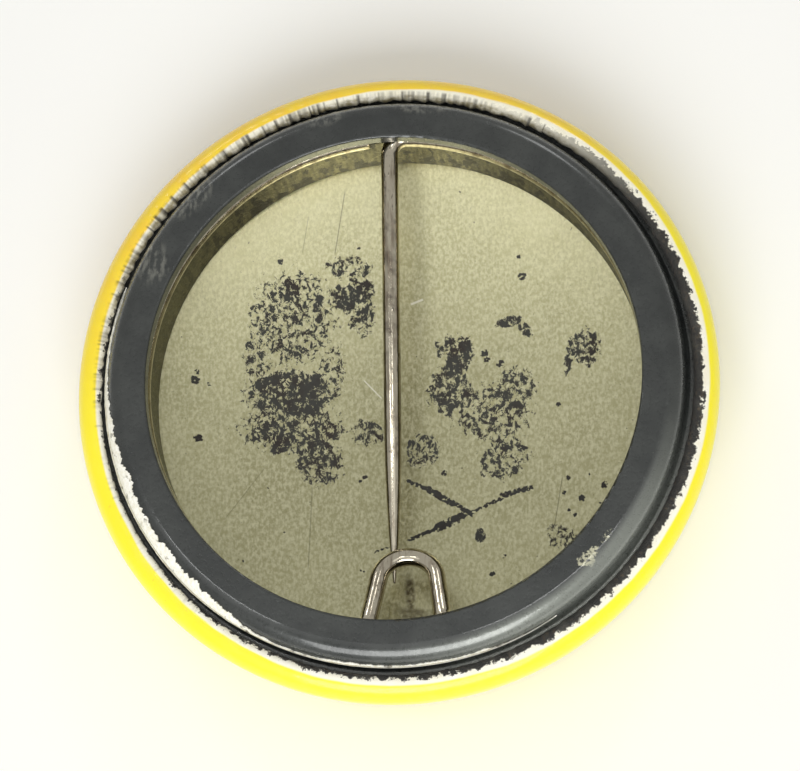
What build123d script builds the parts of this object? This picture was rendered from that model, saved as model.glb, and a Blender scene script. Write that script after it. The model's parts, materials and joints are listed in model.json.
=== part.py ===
"""Button badge with a spring pin back.

The badge lies on its face. The origin is the lowest point of the domed face, on the badge's axis.
+Z points out of the back, +Y points from the catch loop to the pin's bend, +X is to the right.
All sizes are in millimetres.
"""
from math import acos, asin, atan2, degrees, sqrt
import os

from build123d import *

# Overall size
outer_diameter = 31.75
overall_height = 6.35

# Sheets
film_thickness = 0.15
paper_thickness = 0.12
shell_thickness = 0.30
collet_thickness = 0.30

# Face shell: a domed face, a rolled front corner, a short straight side and an inward curl
corner_radius = 2.60
side_height = 0.40
curl_radius = 1.125
collet_stand = 0.60          # the collet's back band stands this far above the curl
rest_flat_depth = 0.05       # the film is rubbed flat this deep where the badge lies on its face

# Back collet
crimp_gap = 0.23             # open crack between the wrapped curl and the collet's outer leg
band_width = 2.10            # from the lip to the outer leg
shoulder_radius = 0.95
hem_seat_gap = 0.01          # between the wrapped hem's underside and the foot flange
flange_clearance = 0.13
flange_fillet = 0.25
lip_top_fillet = 0.12
lip_bottom_fillet = 0.20
lip_height = 0.83
wall_lean = 0.11             # the inner wall's foot is this much nearer the axis than its top
wall_gap = 0.02              # crevice between the wall's foot and the shell's floor

# Pin wire
wire_diameter = 0.87
groove_clearance = 0.06
hoop_cover = 0.025           # the wire's inner side stands this far behind the collet's lip
hoop_end_x = -1.22           # the hoop's free end stops short of the pin
pin_x = -0.19
bend_radius = 0.85
bend_lead = 0.10             # straight wire each side of the bend's arc
pin_root_length = 0.90
hinge_clearance = 0.03
point_length = 8.0
point_tip_radius = 0.06
pin_past_crown = 1.15

# Catch loop
catch_x = 0.56
catch_foot_half_width = 1.85
catch_shoulder_half_width = 1.21
catch_foot_radius = 0.75
catch_shoulder_radius = 1.37
catch_lead = 0.10
catch_reach = 3.86           # from the hoop's centre line in to the crown's centre line
crown_over_floor = 2.20      # from the shell's floor up to the crown's centre line
pin_crown_gap = 0.05

# Worked out from the sizes above
outer_radius = outer_diameter / 2
wire_radius = wire_diameter / 2
curl_r = outer_radius - curl_radius
curl_z = overall_height - collet_stand - curl_radius
corner_r = outer_radius - corner_radius
corner_z = curl_z - side_height
dome_rise = corner_z + rest_flat_depth
dome_radius = (corner_r**2 + dome_rise**2 - corner_radius**2) / (2 * (dome_rise - corner_radius))
dome_z = dome_radius - rest_flat_depth
paper_depth = film_thickness
shell_depth = paper_depth + paper_thickness
floor_depth = shell_depth + shell_thickness
hem_radius = shell_depth + shell_thickness / 2
hem_z = curl_z + curl_radius - hem_radius

leg_r = curl_r - hem_radius - crimp_gap
lip_r = leg_r - band_width
hoop_r = lip_r + hoop_cover + wire_radius
groove_radius = wire_radius + groove_clearance
hoop_z = overall_height - lip_height - groove_radius
flange_z = hem_z - hem_radius - hem_seat_gap


def floor_z(r):
    """Height of the shell's inside at a distance from the axis."""
    return dome_z - sqrt((dome_radius - floor_depth) ** 2 - r**2)


def turned(edges):
    """Solid of revolution about the badge's axis, from a closed outline in (radius, height)."""
    return revolve(Plane.XZ * make_face(edges), Axis.Z)


def skin(depth, hem):
    """Outline of the face, corner, side and curl at a depth under the badge's outside."""
    corner_angle = degrees(atan2(corner_z - dome_z, corner_r))
    side_r = outer_radius - depth
    edges = [
        CenterArc((0, dome_z), dome_radius - depth, -90, corner_angle + 90),
        CenterArc((corner_r, corner_z), corner_radius - depth, corner_angle, -corner_angle),
        Line((side_r, corner_z), (side_r, curl_z)),
        CenterArc((curl_r, curl_z), curl_radius - depth, 0, 90),
    ]
    if hem:
        edges.append(CenterArc((curl_r, hem_z), hem_radius - depth, 90, 180))
    return edges


def layer(outer_depth, inner_depth, inner_hem=True):
    """One sheet between two depths, wrapped round the shell's cut edge where it has a hem."""
    outer = skin(outer_depth, True)
    inner = skin(inner_depth, inner_hem)
    on_axis = Line(outer[0] @ 0, inner[0] @ 0)
    ends = [] if inner_hem is False else [Line(outer[-1] @ 1, inner[-1] @ 1)]
    return turned(outer + inner + [on_axis] + ends)


def make_film():
    """Clear outer sheet, rubbed flat where the badge lies on its face."""
    return split(layer(0, paper_depth), Plane.XY, keep=Keep.TOP)


def make_collet():
    """Pressed ring: foot flange, outer leg, shoulder, back band, lip, wire groove and inner wall."""
    t = collet_thickness
    top_z = overall_height
    wall_foot_r = hoop_r - wall_lean
    wall_foot_z = floor_z(wall_foot_r + t) + wall_gap
    groove_bottom_z = hoop_z - groove_radius
    lip_bottom_z = hoop_z + groove_radius
    shoulder_r = leg_r - shoulder_radius
    shoulder_z = top_z - shoulder_radius
    flange_r = curl_r + sqrt((curl_radius - floor_depth) ** 2 - (flange_z - curl_z) ** 2) - flange_clearance
    back_angle = degrees(acos(t / (groove_radius + t)))
    visible = [
        Line((wall_foot_r, wall_foot_z), (hoop_r, groove_bottom_z)),
        CenterArc((hoop_r, hoop_z), groove_radius, -90, 180),
        FilletPolyline(
            (hoop_r, lip_bottom_z),
            (lip_r, lip_bottom_z),
            (lip_r, top_z),
            (shoulder_r, top_z),
            radius=[lip_bottom_fillet, lip_top_fillet],
        ),
        CenterArc((shoulder_r, shoulder_z), shoulder_radius, 90, -90),
        FilletPolyline(
            (leg_r, shoulder_z), (leg_r, flange_z), (flange_r, flange_z), radius=flange_fillet
        ),
    ]
    hidden = [
        Line((flange_r, flange_z), (flange_r, flange_z - t)),
        Line((flange_r, flange_z - t), (leg_r - t, flange_z - t)),
        Line((leg_r - t, flange_z - t), (leg_r - t, shoulder_z)),
        CenterArc((shoulder_r, shoulder_z), shoulder_radius - t, 0, 90),
        Polyline(
            (shoulder_r, top_z - t),
            (lip_r + t, top_z - t),
            (lip_r + t, lip_bottom_z + t),
            (hoop_r, lip_bottom_z + t),
        ),
        CenterArc((hoop_r, hoop_z), groove_radius + t, 90, -90 - back_angle),
    ]
    wall_top = hidden[-1] @ 1
    hidden.append(Line(wall_top, (wall_foot_r + t, wall_foot_z)))
    hidden.append(Line((wall_foot_r + t, wall_foot_z), (wall_foot_r, wall_foot_z)))
    return turned(visible + hidden)


def wire_along(path):
    """Round wire swept along a path of tangent lines and arcs."""
    section = Plane(origin=path @ 0, z_dir=path % 0) * Circle(wire_radius)
    return sweep(section, path)


def on_hoop(x, end):
    """Point of the hoop's centre line at a given x, at the pin's end (+1) or the catch's end (-1)."""
    return Vector(x, end * sqrt(hoop_r**2 - x**2), hoop_z)


def hoop_angle(point):
    return degrees(atan2(point.Y, point.X))


def along_tangent(start, x):
    """Point at a given x on the hoop's tangent line through start."""
    slope = -start.X / start.Y
    return Vector(x, start.Y + slope * (x - start.X), hoop_z)


def hoop_arc(start, end):
    """Clockwise length of the hoop between two of its points, seen from the back."""
    turn = (hoop_angle(end) - hoop_angle(start)) % -360
    arc = Pos(0, 0, hoop_z) * CenterArc((0, 0), hoop_r, hoop_angle(start), turn)
    return wire_along(arc)


def point_profile():
    """Half outline of the ground point: a long tapering arc, then a small rounded tip."""
    taper = TangentArc((wire_radius, 0), (point_tip_radius, point_length), tangent=(0, 1))
    tip = Line((point_tip_radius, point_length), (0, point_length))
    return [Line((0, 0), (wire_radius, 0)), taper, tip, Line((0, point_length), (0, 0))]


def point_radius(from_tip):
    """Radius of the ground point at a distance back from its tip."""
    fall = wire_radius - point_tip_radius
    arc_radius = (point_length**2 + fall**2) / (2 * fall)
    along = max(point_length - from_tip, 0)
    return wire_radius - arc_radius + sqrt(arc_radius**2 - along**2)


# The wire's key points
bend_reach = bend_radius + bend_lead
hoop_start = on_hoop(pin_x + bend_reach, 1)
bend_corner = along_tangent(hoop_start, pin_x)
crown_y = -(hoop_r - catch_reach)
crown_z = floor_z(abs(crown_y)) + crown_over_floor
pin_under_crown = Vector(
    pin_x, crown_y, crown_z - wire_radius - pin_crown_gap - point_radius(pin_past_crown)
)
pin_direction = (pin_under_crown - bend_corner).normalized()
root_start = bend_corner + pin_direction * (bend_reach + bend_lead)
swing_pivot = root_start + pin_direction * pin_root_length
pin_tip = pin_under_crown + pin_direction * pin_past_crown
shank_end = pin_tip - pin_direction * point_length
foot_reach = catch_foot_radius + catch_lead
right_foot_start = on_hoop(catch_x + catch_foot_half_width + foot_reach, -1)
left_foot_start = on_hoop(catch_x - catch_foot_half_width - foot_reach, -1)
hoop_end = on_hoop(hoop_end_x, 1)


def make_catch_loop():
    """Arched catch: out of the hoop, inwards and down over the pin, and back to the hoop."""
    path = FilletPolyline(
        right_foot_start,
        along_tangent(right_foot_start, catch_x + catch_foot_half_width),
        Vector(catch_x + catch_shoulder_half_width, crown_y, crown_z),
        Vector(catch_x - catch_shoulder_half_width, crown_y, crown_z),
        along_tangent(left_foot_start, catch_x - catch_foot_half_width),
        left_foot_start,
        radius=[catch_foot_radius, catch_shoulder_radius, catch_shoulder_radius, catch_foot_radius],
    )
    return wire_along(path)


def make_pin_bend():
    """Tight bend from the hoop's end into the pin's line."""
    return wire_along(FilletPolyline(hoop_start, bend_corner, root_start, radius=bend_radius))


def make_pin_root():
    """Short length after the bend, hollowed at its end to take the shank's rounded end."""
    root = wire_along(Line(root_start, swing_pivot))
    return root - Pos(*swing_pivot) * Sphere(wire_radius + hinge_clearance)


def make_pin_shank():
    """Straight part of the pin, rounded where it turns on the root."""
    shank = wire_along(Line(swing_pivot, shank_end))
    return shank + Pos(*swing_pivot) * Sphere(wire_radius)


def make_pin_point():
    along_pin = Plane(origin=shank_end, x_dir=(1, 0, 0), z_dir=pin_direction)
    return along_pin * revolve(Plane.XZ * make_face(point_profile()), Axis.Z)


parts = {
    "clear_film": make_film(),
    "printed_paper": layer(paper_depth, shell_depth),
    "face_shell": layer(shell_depth, floor_depth, inner_hem=False),
    "back_collet": make_collet(),
    "hoop_right": hoop_arc(hoop_start, right_foot_start),
    "catch_loop": make_catch_loop(),
    "hoop_left": hoop_arc(left_foot_start, hoop_end),
    "pin_bend": make_pin_bend(),
    "pin_root": make_pin_root(),
    "pin_shank": make_pin_shank(),
    "pin_point": make_pin_point(),
}

os.makedirs("parts", exist_ok=True)
for name, solid in parts.items():
    solid.label = name
    export_step(solid, f"parts/{name}.step")

pin_slope = degrees(asin(-pin_direction.Z))
print(f"pin slope {pin_slope:.3f} degrees, root start {root_start}, swing pivot {swing_pivot}")
print(f"lip radius {lip_r:.3f}, hoop radius {hoop_r:.3f} at z {hoop_z:.3f}, crown {crown_y:.3f}, {crown_z:.3f}")
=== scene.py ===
import json
import random
from math import atan2, ceil, cos, pi, radians, sin, sqrt, tan

import bpy
import numpy as np
from mathutils import Matrix, Vector


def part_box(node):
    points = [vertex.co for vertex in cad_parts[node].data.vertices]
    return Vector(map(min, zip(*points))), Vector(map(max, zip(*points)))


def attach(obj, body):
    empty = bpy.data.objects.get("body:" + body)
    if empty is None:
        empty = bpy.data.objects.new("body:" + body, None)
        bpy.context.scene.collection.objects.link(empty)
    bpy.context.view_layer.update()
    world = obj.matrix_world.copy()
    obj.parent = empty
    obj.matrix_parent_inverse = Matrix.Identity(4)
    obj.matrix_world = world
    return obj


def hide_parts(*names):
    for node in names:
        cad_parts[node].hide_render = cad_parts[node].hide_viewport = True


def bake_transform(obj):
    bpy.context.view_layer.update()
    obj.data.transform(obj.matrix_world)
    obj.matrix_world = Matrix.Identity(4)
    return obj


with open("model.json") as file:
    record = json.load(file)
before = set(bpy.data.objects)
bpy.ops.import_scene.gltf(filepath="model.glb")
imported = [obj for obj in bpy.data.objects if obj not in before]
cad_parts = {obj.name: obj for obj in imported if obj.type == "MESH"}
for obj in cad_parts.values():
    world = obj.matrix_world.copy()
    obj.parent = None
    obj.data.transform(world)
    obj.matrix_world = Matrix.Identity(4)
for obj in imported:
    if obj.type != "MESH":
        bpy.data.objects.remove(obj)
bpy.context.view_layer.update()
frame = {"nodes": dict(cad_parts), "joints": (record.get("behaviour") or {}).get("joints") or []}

# A tin button badge lying on its face, seen from the back.
# +Z comes out of the back, +Y points from the catch loop to the pin's bend.

mm = 0.001
sharp_edge = radians(55)                         # corners sharper than this stay sharp
collection = bpy.context.scene.collection
joints = {joint["name"]: joint for joint in frame["joints"]}

# ---------------------------------------------------------------- sheet sizes
outer_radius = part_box("clear_film")[1].x
band_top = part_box("back_collet")[1].z
film_thickness = 0.15 * mm
paper_thickness = 0.12 * mm
shell_thickness = 0.30 * mm
corner_radius = 2.60 * mm
side_height = 0.40 * mm
curl_radius = 1.125 * mm
collet_stand = 0.60 * mm
crimp_gap = 0.23 * mm
shoulder_radius = 0.95 * mm
rest_flat_depth = 0.05 * mm

paper_depth = film_thickness
shell_depth = paper_depth + paper_thickness
curl_r = outer_radius - curl_radius
curl_z = band_top - collet_stand - curl_radius
corner_r = outer_radius - corner_radius
corner_z = curl_z - side_height
dome_rise = corner_z + rest_flat_depth
dome_radius = (corner_r**2 + dome_rise**2 - corner_radius**2) / (2 * (dome_rise - corner_radius))
dome_z = dome_radius - rest_flat_depth
hem_radius = shell_depth + shell_thickness / 2
hem_z = curl_z + curl_radius - hem_radius
leg_r = curl_r - hem_radius - crimp_gap          # outside of the collet's leg
shoulder_r = leg_r - shoulder_radius             # centre of the collet's rounded shoulder
shoulder_z = band_top - shoulder_radius
hem_turn = 0.94 * pi                             # how far the hem curls under from the rim's top

# ---------------------------------------------------------------- wire sizes
hoop_low, hoop_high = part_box("hoop_left")
catch_low, catch_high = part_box("catch_loop")
wire_radius = (hoop_high.z - hoop_low.z) / 2
hoop_z = (hoop_high.z + hoop_low.z) / 2
hoop_r = -hoop_low.x - wire_radius
hoop_end_x = -1.22 * mm
bend_radius = 0.85 * mm
bend_lead = 0.10 * mm
bend_reach = bend_radius + bend_lead
catch_x = (catch_low.x + catch_high.x) / 2
catch_foot_half_width = 1.85 * mm
catch_foot_radius = 0.75 * mm
catch_shoulder_half_width = 1.21 * mm
catch_shoulder_radius = 1.37 * mm
catch_lead = 0.10 * mm
foot_reach = catch_foot_radius + catch_lead
crown_y = catch_high.y - wire_radius
crown_z = catch_low.z + wire_radius
point_length = 8.0 * mm
point_tip_radius = 0.06 * mm
root_start = Vector(joints["pin_roll"]["pos_m"])
swing_pivot = Vector(joints["pin_swing"]["pos_m"])
pin_direction = (swing_pivot - root_start).normalized()
pin_length = (root_start.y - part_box("pin_point")[0].y) / -pin_direction.y


# ---------------------------------------------------------------- mesh helpers
def add_mesh(name, points, faces, body, material):
    mesh = bpy.data.meshes.new(name)
    mesh.from_pydata(points, [], faces)
    mesh.update()
    piece = bpy.data.objects.new(name, mesh)
    collection.objects.link(piece)
    for face in mesh.polygons:
        face.use_smooth = True
    mesh.set_sharp_from_angle(angle=sharp_edge)
    mesh.materials.append(material)
    if body:
        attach(piece, body)
    return piece


def turned_sheet(name, outline, steps, body, material):
    """Closed sheet turned about the axis; outline(i) starts and ends on the axis."""
    first = outline(0)
    inner = len(first) - 2
    points = [(0, 0, first[0][1]), (0, 0, first[-1][1])]
    for i in range(steps):
        turn = 2 * pi * i / steps
        for r, z in outline(i)[1:-1]:
            points.append((r * cos(turn), r * sin(turn), z))
    faces = []
    for i in range(steps):
        here = 2 + i * inner
        there = 2 + (i + 1) % steps * inner
        faces.append((0, there, here))
        for j in range(inner - 1):
            faces.append((here + j, there + j, there + j + 1, here + j + 1))
        faces.append((1, here + inner - 1, there + inner - 1))
    return add_mesh(name, points, faces, body, material)


def ribbon(name, sections, body, material):
    """Closed strip through equal closed sections, with a flat face at each end."""
    count = len(sections[0])
    points = [point for section in sections for point in section]
    faces = [tuple(range(count))]
    for i in range(len(sections) - 1):
        for j in range(count):
            a = i * count + j
            b = i * count + (j + 1) % count
            faces.append((b, a, a + count, b + count))
    last = (len(sections) - 1) * count
    faces.append(tuple(last + count - 1 - j for j in range(count)))
    return add_mesh(name, points, faces, body, material)


def wire_mesh(name, path, widths, body, material, sides=24):
    """Round wire along a path, with a half width at each of its points."""
    last = len(path) - 1
    along = [(path[min(i + 1, last)] - path[max(i - 1, 0)]).normalized() for i in range(len(path))]
    turns = [2 * pi * k / sides for k in range(sides)]
    side = along[0].orthogonal().normalized()
    sections = []
    for point, direction, width in zip(path, along, widths):
        side = (side - direction * side.dot(direction)).normalized()
        other = direction.cross(side)
        sections.append([point + width * (cos(t) * side + sin(t) * other) for t in turns])
    return ribbon(name, sections, body, material)


def rounded_path(corners, bend_radii, arc_step=radians(5)):
    """Points along straight runs joined by tangent arcs."""
    path = [corners[0]]
    for before, corner, after, radius in zip(corners, corners[1:], corners[2:], bend_radii):
        come = (corner - before).normalized()
        go = (after - corner).normalized()
        turn = come.angle(go)
        reach = radius * tan(turn / 2)
        start = corner - come * reach
        inward = (go - come * go.dot(come)).normalized()
        count = ceil(turn / arc_step)
        for k in range(count + 1):
            a = turn * k / count
            path.append(start + radius * (come * sin(a) + inward * (1 - cos(a))))
    path.append(corners[-1])
    return path


def on_hoop(x, end):
    """Point of the hoop's centre line at a given x, at the pin's end (+1) or the catch's end (-1)."""
    return Vector((x, end * sqrt(hoop_r**2 - x**2), hoop_z))


def along_tangent(start, x):
    """Point at a given x on the hoop's tangent line through start."""
    return Vector((x, start.y - start.x / start.y * (x - start.x), hoop_z))


def hoop_arc(start, end, arc_step=radians(1.5)):
    """Points clockwise along the hoop, seen from the back, without the two ends."""
    first = atan2(start.y, start.x)
    turn = (atan2(end.y, end.x) - first) % (-2 * pi)
    count = ceil(-turn / arc_step)
    turns = [first + turn * k / count for k in range(1, count)]
    return [Vector((hoop_r * cos(t), hoop_r * sin(t), hoop_z)) for t in turns]


# ---------------------------------------------------------------- shared effects
class Recipe:
    """A material or a shader node group being put together."""

    def __init__(self, tree):
        self.tree = tree

    def node(self, kind, **settings):
        made = self.tree.nodes.new(kind)
        for key, value in settings.items():
            setattr(made, key, value)
        return made

    def feed(self, socket, value):
        if isinstance(value, bpy.types.NodeSocket):
            self.tree.links.new(value, socket)
        else:
            socket.default_value = value

    def effect(self, group, **values):
        """Places a node group; each named value is written with _ for a space."""
        made = self.node("ShaderNodeGroup", node_tree=group)
        for key, value in values.items():
            self.feed(made.inputs[key.replace("_", " ").title()], value)
        return made.outputs

    def math(self, operation, a, b=0.5, clamp=False):
        made = self.node("ShaderNodeMath", operation=operation, use_clamp=clamp)
        self.feed(made.inputs[0], a)
        self.feed(made.inputs[1], b)
        return made.outputs[0]

    def most(self, masks):
        """Largest of several masks; each is joined to the last as soon as it is made."""
        total = None
        for mask in masks:
            total = mask if total is None else self.math("MAXIMUM", total, mask)
        return total

    def span(self, value, low, high, to_low=0.0, to_high=1.0):
        made = self.node("ShaderNodeMapRange", interpolation_type="SMOOTHSTEP")
        for key, given in (("Value", value), ("From Min", low), ("From Max", high),
                           ("To Min", to_low), ("To Max", to_high)):
            self.feed(made.inputs[key], given)
        return made.outputs[0]

    def mix(self, share, a, b):
        made = self.node("ShaderNodeMix", data_type="RGBA")
        self.feed(made.inputs[0], share)
        self.feed(made.inputs[6], a)
        self.feed(made.inputs[7], b)
        return made.outputs[2]

    def bump(self, height, distance, strength=1.0):
        made = self.node("ShaderNodeBump")
        self.feed(made.inputs["Height"], height)
        made.inputs["Distance"].default_value = distance * mm
        made.inputs["Strength"].default_value = strength
        return made.outputs[0]

    # Effects placed from the shared groups; sizes are in millimetres, turns in degrees
    def grain(self, size, low=0.0, high=1.0, stretch=(1, 1, 1), turn=0.0, shift=(0, 0, 0), detail=3.0,
              roughness=0.55, warp=0.0):
        scale = [size * part * mm for part in stretch]
        return self.effect(grain_group, shift=[v * mm for v in shift], turn=radians(turn), size=scale,
                           detail=detail, roughness=roughness, warp=warp, low=low, high=high)["Mask"]

    def oval(self, x, y, wide, high, turn=0.0, strength=1.0, edge=0.45):
        return self.effect(oval_group, centre=(x * mm, y * mm, 0), half_size=(wide * mm, high * mm, 1),
                           turn=radians(turn), strength=strength, edge=edge)["Mask"]

    def scratch(self, x, y, long, wide, turn, strength=1.0):
        return self.effect(scratch_group, centre=(x * mm, y * mm, 0), half_size=(long * mm, wide * mm, 1),
                           turn=radians(turn), strength=strength)["Mask"]

    def around(self):
        """Millimetres out from the badge's axis, height in millimetres, and angle in degrees."""
        return self.effect(around_group)


def start_group(name, inputs, outputs):
    tree = bpy.data.node_groups.new(name, "ShaderNodeTree")
    for side, sockets in (("INPUT", inputs), ("OUTPUT", outputs)):
        for title, kind in sockets.items():
            tree.interface.new_socket(title, in_out=side, socket_type=f"NodeSocket{kind}")
    r = Recipe(tree)
    return tree, r, r.node("NodeGroupInput").outputs, r.node("NodeGroupOutput").inputs


def placed_coords(r, location, turn, scale):
    """Object coordinates moved to a place, turned about Z and divided by a size."""
    turned = r.node("ShaderNodeCombineXYZ")
    r.feed(turned.inputs["Z"], turn)
    coords = r.node("ShaderNodeTexCoord")
    moved = r.node("ShaderNodeMapping", vector_type="TEXTURE")
    r.feed(moved.inputs["Vector"], coords.outputs["Object"])
    r.feed(moved.inputs["Location"], location)
    r.feed(moved.inputs["Rotation"], turned.outputs[0])
    r.feed(moved.inputs["Scale"], scale)
    return moved.outputs[0]


def make_grain_group():
    """Noise at a given size, stretch and direction, spread between a low and a high level."""
    inputs = {"Shift": "Vector", "Turn": "Float", "Size": "Vector", "Detail": "Float",
              "Roughness": "Float", "Warp": "Float", "Low": "Float", "High": "Float"}
    tree, r, given, out = start_group("surface_grain", inputs, {"Mask": "Float"})
    coords = placed_coords(r, given["Shift"], given["Turn"], given["Size"])
    noise = r.node("ShaderNodeTexNoise")
    r.feed(noise.inputs["Vector"], coords)
    noise.inputs["Scale"].default_value = 1.0
    r.feed(noise.inputs["Detail"], given["Detail"])
    r.feed(noise.inputs["Roughness"], given["Roughness"])
    r.feed(noise.inputs["Distortion"], given["Warp"])
    r.feed(out["Mask"], r.span(noise.outputs["Fac"], given["Low"], given["High"]))
    return tree


def make_oval_group():
    """Soft oval spot on the plan of the badge."""
    inputs = {"Centre": "Vector", "Half Size": "Vector", "Turn": "Float", "Strength": "Float",
              "Edge": "Float"}
    tree, r, given, out = start_group("soft_spot", inputs, {"Mask": "Float"})
    low = r.math("ADD", given["Edge"], 1.0)
    high = r.math("SUBTRACT", 1.0, given["Edge"])
    coords = placed_coords(r, given["Centre"], given["Turn"], given["Half Size"])
    flat = r.node("ShaderNodeVectorMath", operation="MULTIPLY")
    r.feed(flat.inputs[0], coords)
    flat.inputs[1].default_value = (1, 1, 0)
    length = r.node("ShaderNodeVectorMath", operation="LENGTH")
    r.feed(length.inputs[0], flat.outputs[0])
    r.feed(out["Mask"], r.span(length.outputs["Value"], low, high, 0.0, given["Strength"]))
    return tree


def make_scratch_group():
    """Thin straight mark on the plan of the badge, that fades at its ends."""
    inputs = {"Centre": "Vector", "Half Size": "Vector", "Turn": "Float", "Strength": "Float"}
    tree, r, given, out = start_group("thin_mark", inputs, {"Mask": "Float"})
    coords = placed_coords(r, given["Centre"], given["Turn"], given["Half Size"])
    parts = r.node("ShaderNodeSeparateXYZ")
    r.feed(parts.inputs[0], coords)
    across = r.span(r.math("ABSOLUTE", parts.outputs["Y"]), 1.3, 0.6)
    along = r.span(r.math("ABSOLUTE", parts.outputs["X"]), 1.05, 0.85)
    r.feed(out["Mask"], r.math("MULTIPLY", r.math("MULTIPLY", across, along), given["Strength"]))
    return tree


def make_around_group():
    """Distance from the badge's axis and height, in millimetres, and the angle round it in degrees."""
    outputs = {"Radius": "Float", "Height": "Float", "Angle": "Float"}
    tree, r, _, out = start_group("around_the_axis", {}, outputs)
    coords = placed_coords(r, (0, 0, 0), 0.0, (mm, mm, mm))
    parts = r.node("ShaderNodeSeparateXYZ")
    r.feed(parts.inputs[0], coords)
    x, y, z = parts.outputs
    squared = r.math("ADD", r.math("MULTIPLY", x, x), r.math("MULTIPLY", y, y))
    r.feed(out["Radius"], r.math("SQRT", squared))
    r.feed(out["Height"], z)
    angle = r.math("MULTIPLY", r.math("ARCTAN2", y, x), 180 / pi)
    r.feed(out["Angle"], r.math("FLOORED_MODULO", angle, 360.0))
    return tree


grain_group = make_grain_group()
oval_group = make_oval_group()
scratch_group = make_scratch_group()
around_group = make_around_group()


# ---------------------------------------------------------------- materials
def start_material(name):
    material = bpy.data.materials.new(name)
    material.use_nodes = True
    return material, Recipe(material.node_tree), material.node_tree.nodes["Principled BSDF"].inputs


def rgb(red, green, blue):
    """Linear colour from 0 to 255 display values."""
    def linear(v):
        v = v / 255
        return v / 12.92 if v <= 0.04045 else ((v + 0.055) / 1.055) ** 2.4
    return (linear(red), linear(green), linear(blue), 1.0)


# Wear on the tin's inside, in millimetres and degrees, seen on the plan of the badge
# Where it has flaked: x, y, half width, half height, turn, strength
flaked_patches = [
    (-5.6, 4.4, 2.5, 2.9, -15, 0.72), (-5.9, 5.9, 0.7, 0.7, 30, 0.92), (-5.7, 0.4, 2.6, 1.4, 0, 0.94),
    (-5.6, -1.4, 3.0, 1.4, 0, 0.80), (-6.2, -2.3, 0.8, 0.45, 20, 0.96), (-4.2, -3.2, 1.4, 1.5, 20, 0.80),
    (-2.1, 5.9, 0.8, 0.6, -10, 0.95), (-3.2, 5.4, 0.5, 0.9, 20, 0.90), (-2.2, 4.7, 0.8, 1.4, 10, 0.80),
    (-2.8, 7.0, 1.4, 0.8, 0, 0.70), (-1.8, -1.7, 1.0, 0.8, 0, 0.78), (2.9, 2.1, 0.7, 1.3, -28, 0.96),
    (2.4, 0.4, 1.3, 1.4, 0, 0.84), (2.4, 2.8, 1.1, 0.6, 20, 0.78), (4.6, -0.8, 2.3, 1.7, 0, 0.74),
    (5.8, 0.4, 1.2, 1.3, 0, 0.74), (5.7, -0.5, 0.5, 0.27, 10, 0.96), (5.1, -3.2, 1.5, 1.2, 20, 0.76),
    (1.0, -2.7, 1.0, 1.1, 0, 0.76), (5.5, 3.9, 0.75, 0.32, 8, 0.95), (6.3, 3.4, 0.55, 0.30, -42, 0.95),
    (9.4, 2.3, 0.8, 1.1, 0, 0.82), (8.5, 1.9, 0.28, 1.1, -10, 0.88), (7.9, -7.4, 0.9, 0.7, 0, 0.74),
    (3.9, -7.2, 0.3, 0.42, 0, 0.93), (-7.4, 2.4, 0.9, 1.6, 0, 0.68), (-3.6, 1.7, 0.8, 1.6, 0, 0.66),
]
# Round rust dots: x, y, radius
rust_dots = [
    (-10.62, 1.1, 0.24), (-10.35, -1.96, 0.22), (-10.5, 1.55, 0.12), (-9.9, 0.9, 0.1), (8.3, -4.4, 0.12),
    (8.1, -5.2, 0.12), (8.95, -5.5, 0.17), (10.05, -4.9, 0.18), (7.9, -0.6, 0.12), (8.3, -6.1, 0.1),
    (8.6, -6.35, 0.1), (2.1, -3.9, 0.15), (-1.9, -4.0, 0.13), (-6.3, 7.4, 0.15), (6.2, 6.2, 0.2),
    (4.5, -9.2, 0.14), (5.1, -8.3, 0.1), (4.2, 2.3, 0.2), (4.3, 1.95, 0.16), (5.0, 1.7, 0.2),
]
# Deep scratches down to dark metal: x, y, half length, half width, turn
dark_scratches = [
    (1.25, -6.95, 1.1, 0.10, 22), (2.4, -6.45, 0.8, 0.22, 24), (4.0, -5.75, 1.3, 0.09, 24),
    (5.7, -5.00, 0.9, 0.15, 14), (0.7, -4.45, 0.6, 0.10, -25), (1.9, -5.1, 0.9, 0.17, -33),
    (3.0, -5.75, 0.75, 0.12, -36), (-0.9, -7.75, 0.55, 0.05, 20),
]
# Scratches in the tin's shine: x, y, half length, half width, turn, strength
fine_scratches = [
    (-3.2, 9.4, 1.7, 0.03, 80, 0.6), (-5.0, 8.8, 1.0, 0.02, 80, 0.5), (-4.6, -6.6, 2.2, 0.03, 89, 0.35),
    (7.8, -5.6, 1.3, 0.025, 80, 0.5), (-7.9, -4.8, 1.7, 0.016, 55, 0.4),
]
bright_scratches = [(-1.55, 0.6, 0.7, 0.035, -47, 0.9), (0.75, 5.15, 0.35, 0.06, 20, 0.9)]


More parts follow.
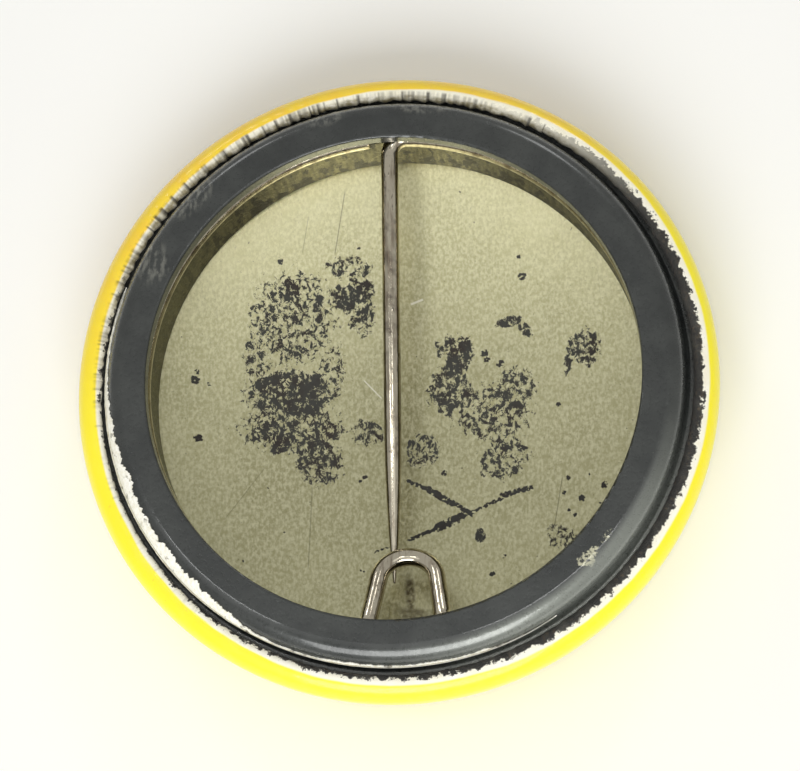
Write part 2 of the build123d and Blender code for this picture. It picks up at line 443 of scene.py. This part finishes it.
def make_tin():
    material, r, surface = start_material("worn_tinplate")
    # Pale tin with bright grain, drawn lines, dull pits and fine scratches
    grain = r.grain(0.15, 0.34, 0.70, stretch=(1, 1.5, 1), detail=4.0, roughness=0.62)
    mottle = r.grain(3.2, 0.3, 0.7, shift=(3, 1, 0))
    colour = r.mix(mottle, rgb(184, 180, 139), rgb(195, 191, 149))
    colour = r.mix(r.math("MULTIPLY", grain, 0.75), colour, rgb(230, 227, 192))
    drawn = r.grain(0.16, 0.60, 0.80, stretch=(1, 24, 1), turn=4, detail=2.0)
    colour = r.mix(r.math("MULTIPLY", drawn, 0.20), colour, rgb(140, 136, 102))
    pits = r.grain(0.13, 0.66, 0.74, shift=(2, 6, 0), detail=2.0)
    colour = r.mix(r.math("MULTIPLY", pits, 0.40), colour, rgb(112, 106, 76))
    colour = r.mix(r.most(r.scratch(*mark) for mark in fine_scratches), colour, rgb(84, 80, 62))
    # It flakes where noise passes a level, which is lower inside the patches
    patches = r.node("ShaderNodeAttribute", attribute_name="flaking").outputs["Fac"]
    flakes = r.grain(0.27, stretch=(1, 1.3, 1), shift=(1.5, 7, 0), detail=6.0, roughness=0.74, warp=0.4)
    reach = r.math("SUBTRACT", 0.84, r.math("MULTIPLY", patches, 0.50))
    flaked = r.span(r.math("SUBTRACT", flakes, reach), 0.0, 0.05)
    stray = r.grain(0.5, 0.745, 0.76, shift=(11, 4, 0), detail=2.0)
    # Noise nibbles the edges of the deep scratches and rust dots
    nibbled = r.math("SUBTRACT", r.grain(0.17, 0.3, 0.7, shift=(9, 3, 0), detail=5.0), 0.5)
    ragged = r.math("MULTIPLY", nibbled, 1.3)
    marks = r.node("ShaderNodeAttribute", attribute_name="deep_marks").outputs["Fac"]
    marks = r.span(r.math("ADD", marks, r.math("MULTIPLY", ragged, marks)), 0.42, 0.54)
    dark = r.most([flaked, stray, marks])
    worn_through = r.mix(r.grain(0.9, 0.4, 0.7, shift=(4, 4, 0)), rgb(57, 57, 52), rgb(48, 41, 36))
    colour = r.mix(dark, colour, worn_through)
    # Two bright scratches, and a brown smear inside the catch loop that is a painted reflection of the
    # pin's point and the loop in the tin
    shine = r.most(r.scratch(*mark) for mark in bright_scratches)
    colour = r.mix(shine, colour, rgb(245, 243, 225))
    painted_loop_reflection = r.most([r.oval(0.45, -10.1, 0.22, 0.9, 4, 0.85), r.oval(0.75, -11.15, 1.0, 0.32, -8, 0.7)])
    painted_loop_reflection = r.math("MULTIPLY", painted_loop_reflection, r.grain(0.3, 0.25, 0.6, shift=(6, 1, 0)))
    colour = r.mix(painted_loop_reflection, colour, rgb(74, 60, 42))
    r.feed(surface["Base Color"], colour)
    r.feed(surface["Metallic"], r.math("SUBTRACT", 1.0, r.math("MULTIPLY", dark, 0.85)))
    polish = r.span(grain, 0, 1, 0.30, 0.38)
    r.feed(surface["Roughness"], r.math("ADD", polish, r.math("MULTIPLY", dark, 0.25)))
    height = r.math("SUBTRACT", r.math("MULTIPLY", grain, 0.35), dark)
    r.feed(surface["Normal"], r.bump(height, 0.008, 0.28))
    return material


def make_dark_steel():
    material, r, surface = start_material("slate_steel")
    around = r.around()
    radius, height, angle = around["Radius"], around["Height"], around["Angle"]
    # Dark steel, clouded, with rubbed smudges and small chips
    cloud = r.grain(1.7, 0.3, 0.7)
    grain = r.grain(0.20, 0.3, 0.7, shift=(5, 2, 0), roughness=0.6)
    base = r.mix(cloud, rgb(52, 55, 54), rgb(65, 68, 66))
    smudges = r.most([r.oval(-3.3, 13.3, 0.9, 0.5, 15), r.oval(1.5, 13.6, 1.3, 0.35, -4),
                      r.oval(-9.9, 9.2, 1.3, 0.6, 45), r.oval(-11.9, 6.0, 0.8, 1.2, 20)])
    streaks = r.grain(0.22, 0.42, 0.66, stretch=(1, 2.5, 1), shift=(8, 1, 2), detail=4.0)
    base = r.mix(r.math("MULTIPLY", r.math("MULTIPLY", smudges, streaks), 0.5), base, rgb(150, 150, 140))
    chips = r.grain(0.30, 0.70, 0.75, shift=(2, 9, 4), detail=5.0, roughness=0.7)
    base = r.mix(r.math("MULTIPLY", chips, 0.6), base, rgb(150, 153, 146))
    # One place scraped bare, and painted sheen that makes the outer shoulder lighter at the lower right
    speckle = r.grain(0.17, 0.25, 0.75, shift=(3, 3, 0), detail=5.0, roughness=0.7)
    bare = r.most([r.oval(9.2, -9.25, 0.62, 0.26, 40, 0.9), r.oval(9.3, -9.45, 0.30, 0.30, 0, 0.85),
                   r.oval(10.1, -8.3, 0.50, 0.18, 50, 0.6)])
    scraped = r.span(r.math("SUBTRACT", bare, r.math("MULTIPLY", speckle, 1.2)), 0.05, 0.22)
    base = r.mix(scraped, base, rgb(196, 194, 166))
    right_side = r.math("MULTIPLY", r.span(angle, 262, 305), r.span(angle, 359, 318))
    painted_sheen = r.math("MULTIPLY", r.span(radius, 13.1, 13.6), right_side)
    base = r.mix(r.math("MULTIPLY", painted_sheen, 0.8), base, rgb(146, 150, 142))
    # The bare inner wall, below the lip and inside the band
    wall = r.math("MULTIPLY", r.span(height, 5.75, 5.35), r.span(radius, 13.0, 12.9))
    drawn = r.grain(0.20, 0.35, 0.65, stretch=(1, 1, 7), detail=4.0)
    # Dark brown blotches, more of them towards the bottom of the wall
    wall_blotches = r.grain(0.6, stretch=(1, 1, 1.8), shift=(1, 0, 0), detail=5.0, roughness=0.65)
    olive = r.mix(drawn, rgb(66, 62, 46), rgb(96, 91, 68))
    low_down = r.math("MULTIPLY", r.span(height, 3.4, 1.9), 0.17)
    olive = r.mix(r.span(r.math("ADD", wall_blotches, low_down), 0.58, 0.64), olive, rgb(30, 25, 19))
    half_turn = r.math("FLOORED_MODULO", angle, 180.0)
    to_side = r.math("ABSOLUTE", r.math("SUBTRACT", half_turn, 90.0))
    olive = r.mix(r.math("MULTIPLY", r.span(to_side, 35, 75), 0.5), olive, rgb(128, 126, 98))
    r.feed(surface["Base Color"], r.mix(wall, base, olive))
    r.feed(surface["Metallic"], r.span(wall, 0.0, 1.0, 0.40, 0.85))
    r.feed(surface["Roughness"], r.span(grain, 0, 1, 0.26, 0.38))
    r.feed(surface["Coat Weight"], r.math("MULTIPLY", r.span(wall, 1, 0), 0.7))
    surface["Coat Roughness"].default_value = 0.10
    relief = r.math("SUBTRACT", grain, r.math("MULTIPLY", chips, 1.5))
    r.feed(surface["Normal"], r.bump(relief, 0.006, 0.6))
    return material


def make_wire():
    material, r, surface = start_material("plated_wire")
    # Bright plating with brown streaks, stains and dark scale
    streak = r.grain(0.28, 0.42, 0.75, stretch=(1, 7, 2), detail=4.0, roughness=0.6)
    stain = r.grain(1.1, 0.52, 0.72, shift=(4, 4, 4))
    scale = r.grain(0.16, 0.60, 0.72, stretch=(1, 3, 1), shift=(1, 2, 3), detail=4.0)
    colour = r.mix(r.math("MULTIPLY", streak, 0.75), rgb(216, 208, 188), rgb(124, 106, 86))
    colour = r.mix(r.math("MULTIPLY", stain, 0.6), colour, rgb(86, 69, 58))
    colour = r.mix(r.math("MULTIPLY", scale, 0.6), colour, rgb(52, 38, 30))
    r.feed(surface["Base Color"], colour)
    surface["Metallic"].default_value = 1.0
    r.feed(surface["Roughness"], r.span(streak, 0, 1, 0.10, 0.24))
    r.feed(surface["Normal"], r.bump(r.most([streak, scale]), 0.010, 0.30))
    return material


def make_paper():
    material, r, surface = start_material("printed_paper")
    around = r.around()
    radius, height, angle = around["Radius"], around["Height"], around["Angle"]
    fold = r.node("ShaderNodeAttribute", attribute_name="fold_line").outputs["Fac"]
    # Cream unprinted margin inside the print's wavy edge
    wobble = r.math("MULTIPLY", r.grain(2.6), 0.12)
    back = r.span(height, 4.6, 4.8)              # the wrapped margin that faces the back
    # The print sits 0.28 mm to one side of the badge's axis
    print_side = r.math("MULTIPLY", r.math("ADD", angle, 12.0), pi / 180)
    off_centre = r.math("MULTIPLY", r.math("COSINE", print_side), 0.28)
    from_print = r.math("SUBTRACT", radius, off_centre)
    margin = r.math("MULTIPLY", back, r.span(r.math("ADD", from_print, wobble), 15.04, 14.92))
    top_side = r.math("MULTIPLY", r.span(angle, 10, 70), r.span(angle, 200, 150))
    # Yellow, warmer at the top and flecked with orange where it is wrapped
    fade = r.grain(1.5, 0.3, 0.7, shift=(2, 2, 2))
    warm = r.math("MULTIPLY", top_side, r.span(fade, 0, 1, 0.75, 1.0))
    yellow = r.mix(warm, rgb(255, 240, 8), rgb(252, 210, 34))
    flecks = r.math("MULTIPLY", r.grain(0.26, 0.66, 0.76, shift=(8, 8, 1), roughness=0.6), 0.45)
    yellow = r.mix(r.math("MULTIPLY", flecks, back), yellow, rgb(238, 158, 60))
    cream = r.mix(r.grain(0.8, 0.2, 0.8, roughness=0.6), rgb(255, 253, 240), rgb(246, 241, 218))
    cream = r.mix(r.math("MULTIPLY", top_side, 0.15), cream, rgb(244, 232, 186))
    shaded = r.math("MULTIPLY", r.span(r.math("SUBTRACT", radius, wobble), 14.58, 14.42), top_side)
    cream = r.mix(r.math("MULTIPLY", shaded, r.grain(0.35, 0.2, 0.7)), cream, rgb(150, 138, 96))
    # Dirt and painted shade fill the crimp with a ragged edge; among the pleats they keep to their creases
    ragged = r.math("MULTIPLY", r.grain(0.40, detail=5.0, roughness=0.7), 0.80)
    pleated = r.math("MULTIPLY", r.span(angle, 30, 75), r.span(angle, 172, 145))
    dirt_and_shade = r.span(r.math("ADD", from_print, ragged), 15.10, 15.02)
    crease = r.math("MULTIPLY", fold, r.span(radius, 14.85, 14.68))
    spared_among_pleats = r.math("MULTIPLY", pleated, 0.85)
    dirt_and_shade = r.math("MULTIPLY", dirt_and_shade, r.math("SUBTRACT", 1.0, spared_among_pleats))
    dirt_and_shade = r.math("MULTIPLY", r.most([dirt_and_shade, r.math("MULTIPLY", crease, 0.85)]), back)
    dirt = r.mix(r.grain(0.22, 0.5, 0.8, shift=(5, 5, 5)), rgb(14, 11, 8), rgb(70, 56, 38))
    colour = r.mix(dirt_and_shade, r.mix(margin, yellow, cream), dirt)
    r.feed(surface["Base Color"], colour)
    r.feed(surface["Roughness"], r.span(dirt_and_shade, 0, 1, 0.40, 0.80))
    r.feed(surface["Coat Weight"], r.span(dirt_and_shade, 0, 1, 0.45, 0.0))
    surface["Coat Roughness"].default_value = 0.08
    r.feed(surface["Normal"], r.bump(r.most([r.grain(0.5), dirt_and_shade]), 0.010, 0.5))
    return material


def make_torn_paper():
    material, r, surface = start_material("torn_paper")
    # White fibre with a few dirty places
    fibre = r.grain(0.14, 0.35, 0.7, stretch=(1, 2, 1), detail=5.0, roughness=0.7)
    dirt = r.grain(0.5, 0.60, 0.70, shift=(3, 1, 1), detail=4.0)
    colour = r.mix(fibre, rgb(253, 252, 244), rgb(232, 228, 208))
    colour = r.mix(r.math("MULTIPLY", dirt, 0.7), colour, rgb(96, 88, 66))
    r.feed(surface["Base Color"], colour)
    r.feed(surface["Roughness"], r.span(fibre, 0, 1, 0.7, 0.9))
    r.feed(surface["Normal"], r.bump(fibre, 0.010, 0.6))
    return material


def make_film():
    material, r, surface = start_material("clear_film")
    # Nearly clear: only scuffs show, and the gloss
    scuff = r.grain(0.5, 0.45, 0.8, stretch=(1, 5, 1), turn=30, detail=4.0)
    r.feed(surface["Base Color"], r.mix(scuff, rgb(255, 255, 246), rgb(250, 246, 226)))
    r.feed(surface["Alpha"], r.span(scuff, 0, 1, 0.012, 0.035))
    r.feed(surface["Roughness"], r.span(scuff, 0, 1, 0.06, 0.16))
    return material


tin = make_tin()
dark_steel = make_dark_steel()
wire_finish = make_wire()
paper_finish = make_paper()
torn_finish = make_torn_paper()
film_finish = make_film()


# ---------------------------------------------------------------- wrapped paper and film
steps = 1080
draw = random.Random(31)


def swell(degrees, start, top_start, top_end, end):
    """0 outside start and end, 1 between the two tops, straight between."""
    if degrees <= start or degrees >= end:
        return 0.0
    if degrees < top_start:
        return (degrees - start) / (top_start - start)
    if degrees > top_end:
        return (end - degrees) / (end - top_end)
    return 1.0


def pleat_heights():
    """How far the hem's folds stand towards the collet at each step round the rim.

    The folds are tallest at the top left, and there the whole hem stands closer as well.
    """
    heights = [0.0] * steps
    turn = 0.0
    while turn < 360.0:
        spacing = draw.uniform(1.5, 4.2)
        share = 0.25 + 0.75 * swell(turn, 40, 75, 165, 190)
        tall = draw.uniform(0.06, 0.17) * mm * share
        lean = draw.uniform(0.12, 0.55)
        for i in range(steps):
            along = ((i * 360 / steps - turn) % 360) / spacing
            if along < 1:
                rise = along / lean if along < lean else (1 - along) / (1 - lean)
                heights[i] = max(heights[i], tall * rise)
        turn += spacing
    closer = [0.05 * mm * swell(i * 360 / steps, 30, 75, 165, 195) for i in range(steps)]
    return [h + more + draw.uniform(-0.008, 0.008) * mm for h, more in zip(heights, closer)]


pleats = pleat_heights()


def fold_line(step):
    """1 at the foot of a steep fold, 0 on its smooth back."""
    steep = 0.04 * mm
    too_gentle = 0.3
    jump = abs(pleats[(step + 1) % steps] - pleats[step])
    return min(1.0, max(0.0, jump / steep - too_gentle))


def skin_points(depth, pleat, arc_steps):
    """One face of a sheet at a depth under the film's outside: dome, corner, side, curl and hem.

    A pleat lifts the end of the curl by a quarter of its height, and the hem by all of it.
    """
    face_steps = 9
    lift_from = 0.9                              # radians round the curl
    curl_share = 0.25
    full_hem_share = 0.4
    corner_angle = atan2(corner_z - dome_z, corner_r)
    face_radius = dome_radius - depth
    rest_r = sqrt(max(face_radius**2 - dome_z**2, 0))
    points = [(0, 0 if rest_r else dome_z - face_radius)]
    edge_r = face_radius * cos(corner_angle)
    for k in range(1, face_steps + 1):
        r = rest_r + (edge_r - rest_r) * k / face_steps
        points.append((r, dome_z - sqrt(face_radius**2 - r**2)))
    for k in range(1, arc_steps + 1):
        a = corner_angle * (1 - k / arc_steps)
        radius = corner_radius - depth
        points.append((corner_r + radius * cos(a), corner_z + radius * sin(a)))
    for k in range(arc_steps + 1):
        a = pi / 2 * k / arc_steps
        radius = curl_radius - depth
        rise = pleat * curl_share * max(0, (a - lift_from) / (pi / 2 - lift_from))
        points.append((curl_r + (radius + rise) * cos(a), curl_z + (radius + rise) * sin(a)))
    for k in range(1, arc_steps + 1):
        a = pi / 2 + hem_turn * k / arc_steps
        radius = hem_radius - depth
        rise = pleat * (curl_share + (1 - curl_share) * min(1, k / (arc_steps * full_hem_share)))
        points.append((curl_r + (radius + rise) * cos(a), hem_z + radius * sin(a)))
    return points


def layer_outline(step, near, far, arc_steps=12):
    """Closed outline of one sheet between two depths."""
    out = skin_points(near, pleats[step], arc_steps)
    back = skin_points(far, pleats[step], arc_steps)
    return out + back[::-1]


def mark_folds(piece):
    """Stores the fold lines on the mesh, for the dirt and painted shade in them."""
    attribute = piece.data.attributes.new("fold_line", "FLOAT", "POINT")
    inner = (len(piece.data.vertices) - 2) // steps
    lines = [fold_line(step) for step in range(steps)]
    attribute.data.foreach_set("value", [0.0, 0.0] + [line for line in lines for _ in range(inner)])


def make_wraps():
    film_inset = 0.03 * mm
    film = turned_sheet("film_wrap", lambda i: layer_outline(i, 0, film_thickness - film_inset),
                        steps, "badge", film_finish)
    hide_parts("clear_film")
    paper_inset = 0.01 * mm
    paper = turned_sheet("paper_wrap", lambda i: layer_outline(i, paper_depth, shell_depth - paper_inset),
                         steps, "badge", paper_finish)
    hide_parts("printed_paper")
    mark_folds(paper)


# ---------------------------------------------------------------- tin shell
def fade(value, empty, full):
    """0 at empty, 1 at full, smooth between."""
    share = np.clip((value - empty) / (full - empty), 0, 1)
    return share * share * (3 - 2 * share)


def across_mark(x, y, mark):
    """A mark's own coordinates, in its half lengths and half widths."""
    x0, y0, long, wide, turn = mark[:5]
    a = radians(turn)
    u = (x - x0) * cos(a) + (y - y0) * sin(a)
    v = (y - y0) * cos(a) - (x - x0) * sin(a)
    return u / long, v / wide


def store_wear(piece):
    """Stores on the mesh how far the tin has flaked, and where deep scratches and rust dots lie."""
    corners = np.empty(len(piece.data.vertices) * 3)
    piece.data.vertices.foreach_get("co", corners)
    x, y = corners[0::3] / mm, corners[1::3] / mm
    flaking = np.zeros_like(x)
    for patch in flaked_patches:
        u, v = across_mark(x, y, patch)
        flaking = np.maximum(flaking, patch[5] * fade(np.hypot(u, v), 1.4, 0.6))
    marks = np.zeros_like(x)
    for mark in dark_scratches:
        u, v = across_mark(x, y, mark)
        marks = np.maximum(marks, fade(abs(v), 1.6, 0.3) * fade(abs(u), 1.1, 0.8))
    for x0, y0, size in rust_dots:
        marks = np.maximum(marks, fade(np.hypot(x - x0, y - y0), size * 1.7, size * 0.3))
    for name, values in (("flaking", flaking), ("deep_marks", marks)):
        piece.data.attributes.new(name, "FLOAT", "POINT").data.foreach_set("value", values)


def make_tin_shell():
    floor_depth = shell_depth + shell_thickness
    face_radius = dome_radius - floor_depth
    curl_inner = curl_radius - floor_depth
    corner_inner = corner_radius - floor_depth
    corner_angle = atan2(corner_z - dome_z, corner_r)
    rings = 130
    arc_steps = 10
    inside = [(0, dome_z - face_radius)]
    for k in range(1, rings + 1):
        r = face_radius * cos(corner_angle) * k / rings
        inside.append((r, dome_z - sqrt(face_radius**2 - r**2)))
    for k in range(1, arc_steps + 1):
        a = corner_angle * (1 - k / arc_steps)
        inside.append((corner_r + corner_inner * cos(a), corner_z + corner_inner * sin(a)))
    for k in range(arc_steps + 1):
        a = pi / 2 * k / arc_steps
        inside.append((curl_r + curl_inner * cos(a), curl_z + curl_inner * sin(a)))
    outline = skin_points(shell_depth, 0, arc_steps) + inside[::-1]
    shell = turned_sheet("tin_shell", lambda step: outline, 720, "badge", tin)
    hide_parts("face_shell")
    store_wear(shell)


# ---------------------------------------------------------------- torn paper in the crimp
def make_torn_edge():
    """Ragged strip of the paper's cut edge, standing out of the crimp against the collet's shoulder.

    It is widest at the lower left, and thins out round the bottom.
    """
    strip_start = 160.0
    strip_end = 303.0
    sheet = 0.045 * mm
    stand_off = 0.012 * mm
    foot_z = hem_z + 0.34 * mm
    count = 620
    keep = 0.86                                  # how much of the last tear carries on into the next
    ragged = 0.0
    sections = []
    for i in range(count):
        degrees = strip_start + (strip_end - strip_start) * i / (count - 1)
        ragged = keep * ragged + draw.uniform(-1, 1)
        size = swell(degrees, strip_start, 195, 228, 250) + 0.30 * swell(degrees, 228, 250, 285, strip_end)
        climb = radians(max(2.0, 60 * size + 5.0 * ragged * sqrt(size)))
        rise = min(1.0, size / 0.10)
        spread = (0.03 + 0.03 * size) * mm + 0.010 * mm * max(ragged, 0)
        turns = [climb * (1 - k / 3) for k in range(4)]
        near = shoulder_radius + stand_off
        far = near + sheet
        inside = [(shoulder_r + near * cos(a), shoulder_z + near * sin(a)) for a in turns]
        outside = [(shoulder_r + far * cos(a), shoulder_z + far * sin(a)) for a in turns]
        inside.append((leg_r + spread, foot_z - sheet))
        outside.append((leg_r + spread + 0.02 * mm, foot_z))
        turn = radians(degrees)
        section = [(r, foot_z + (z - foot_z) * rise) for r, z in inside + outside[::-1]]
        sections.append([(r * cos(turn), r * sin(turn), z) for r, z in section])
    ribbon("torn_paper_edge", sections, "badge", torn_finish)


# ---------------------------------------------------------------- bent wire and pin
def make_bent_wire():
    """Bend, hoop and catch loop, as one bent wire."""
    pin_x = root_start.x
    bend_corner = root_start - pin_direction * (bend_reach + bend_lead)
    hoop_start = on_hoop(pin_x + bend_reach, 1)
    right_foot = on_hoop(catch_x + catch_foot_half_width + foot_reach, -1)
    left_foot = on_hoop(catch_x - catch_foot_half_width - foot_reach, -1)
    hoop_end = on_hoop(hoop_end_x, 1)
    catch_corners = [
        right_foot,
        along_tangent(right_foot, catch_x + catch_foot_half_width),
        Vector((catch_x + catch_shoulder_half_width, crown_y, crown_z)),
        Vector((catch_x - catch_shoulder_half_width, crown_y, crown_z)),
        along_tangent(left_foot, catch_x - catch_foot_half_width),
        left_foot,
    ]
    catch_radii = [catch_foot_radius, catch_shoulder_radius, catch_shoulder_radius, catch_foot_radius]
    path = rounded_path([root_start, bend_corner, hoop_start], [bend_radius])
    path += hoop_arc(hoop_start, right_foot)
    path += rounded_path(catch_corners, catch_radii)
    path += hoop_arc(left_foot, hoop_end)
    chamfer = 0.05 * mm
    last = (hoop_end - path[-1]).normalized()
    path += [hoop_end - last * chamfer, hoop_end]
    widths = [wire_radius] * (len(path) - 1) + [wire_radius - chamfer]
    wire = wire_mesh("bent_wire", path, widths, "spring_wire", wire_finish)
    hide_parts("hoop_right", "catch_loop", "hoop_left", "pin_bend")


def make_pin():
    """Straight pin with a long ground point; the real pin is springy just after the bend."""
    fall = wire_radius - point_tip_radius
    taper_radius = (point_length**2 + fall**2) / (2 * fall)
    spacing = 0.2 * mm
    count = ceil(pin_length / spacing)
    path = []
    widths = []
    seam = 0.004 * mm                            # clear of the bend's end as the pin rolls on it
    for i in range(count + 1):
        along = seam + (pin_length - point_tip_radius - seam) * i / count
        past = max(along - (pin_length - point_length), 0)
        path.append(root_start + pin_direction * along)
        widths.append(wire_radius - taper_radius + sqrt(taper_radius**2 - past**2))
    tip_width = widths[-1]
    for a in (30, 60, 84):
        path.append(root_start + pin_direction * (pin_length - point_tip_radius * (1 - sin(radians(a)))))
        widths.append(tip_width * cos(radians(a)))
    pin = wire_mesh("pin_needle", path, widths, None, wire_finish)
    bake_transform(pin)
    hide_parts("pin_root", "pin_shank", "pin_point")


# ---------------------------------------------------------------- carried-over parts
def finish_part(node, material):
    piece = frame["nodes"][node]
    piece.data.materials.clear()
    piece.data.materials.append(material)


make_wraps()
make_tin_shell()
make_torn_edge()
make_bent_wire()
make_pin()
finish_part("back_collet", dark_steel)


# ---------------------------------------------------------------- floor, light and camera
def make_floor():
    material, r, surface = start_material("pale_table")
    r.feed(surface["Base Color"], r.mix(r.grain(40.0), rgb(252, 252, 249), rgb(248, 248, 245)))
    surface["Roughness"].default_value = 0.7
    half = 600 * mm
    table = add_mesh("table", [(-half, -half, 0), (half, -half, 0), (half, half, 0), (-half, half, 0)],
                     [(0, 1, 2, 3)], None, material)


def add_softbox(name, place, wide, long, power, along=(0, 1, 0)):
    """Rectangular soft light that faces the badge, with its long side along a direction."""
    light = bpy.data.lights.new(name, "AREA")
    light.shape = "RECTANGLE"
    light.size = wide
    light.size_y = long
    light.energy = power
    lamp = bpy.data.objects.new(name, light)
    away = Vector(place).normalized()
    up = (Vector(along) - away * away.dot(Vector(along))).normalized()
    turned = Matrix((up.cross(away), up, away)).transposed().to_4x4()
    lamp.matrix_world = Matrix.Translation(place) @ turned
    collection.objects.link(lamp)


def light_scene():
    world = bpy.data.worlds.new("studio")
    world.use_nodes = True
    background = world.node_tree.nodes["Background"]
    background.inputs["Color"].default_value = (1.0, 0.99, 0.96, 1.0)
    background.inputs["Strength"].default_value = 0.45
    bpy.context.scene.world = world
    # A large window from the near side, and a weak fill from above
    add_softbox("near_window", (0.0, -0.36, 0.30), 0.40, 0.25, 1.70)
    add_softbox("overhead", (0.0, -0.05, 0.36), 0.50, 0.14, 0.09)
    # Two narrow bars that draw thin highlights on the wire and the collet
    add_softbox("left_strip", (-0.113, 0.0, 0.36), 0.010, 0.09, 0.036, (0.84, -0.53, 0))
    add_softbox("right_strip", (0.030, 0.0, 0.36), 0.010, 0.08, 0.032, (0.81, 0.59, 0))
    # Two weak lights low on the far side
    add_softbox("far_left", (-0.13, 0.22, 0.15), 0.05, 0.05, 0.035)
    add_softbox("far_right", (0.075, 0.22, 0.15), 0.05, 0.05, 0.035)


def add_camera():
    """Looks down on the back from the near side and a little from the right, 16.5 degrees off upright."""
    camera = bpy.data.cameras.new("camera")
    camera.sensor_width = 36.0
    camera.lens = 83.5
    camera.clip_start = 0.001
    place = Vector((10.0, -24.2, 91.4)) * mm
    aim = Vector((0.12, 0.10, 3.0)) * mm
    forward = (aim - place).normalized()
    right = forward.cross(Vector((0, 1, 0))).normalized()
    up = right.cross(forward)
    turned = Matrix((right, up, -forward)).transposed().to_4x4()
    piece = bpy.data.objects.new("camera", camera)
    piece.matrix_world = Matrix.Translation(place) @ turned
    collection.objects.link(piece)
    bpy.context.scene.camera = piece


make_floor()
light_scene()
add_camera()
bpy.context.scene.view_settings.view_transform = "Standard"
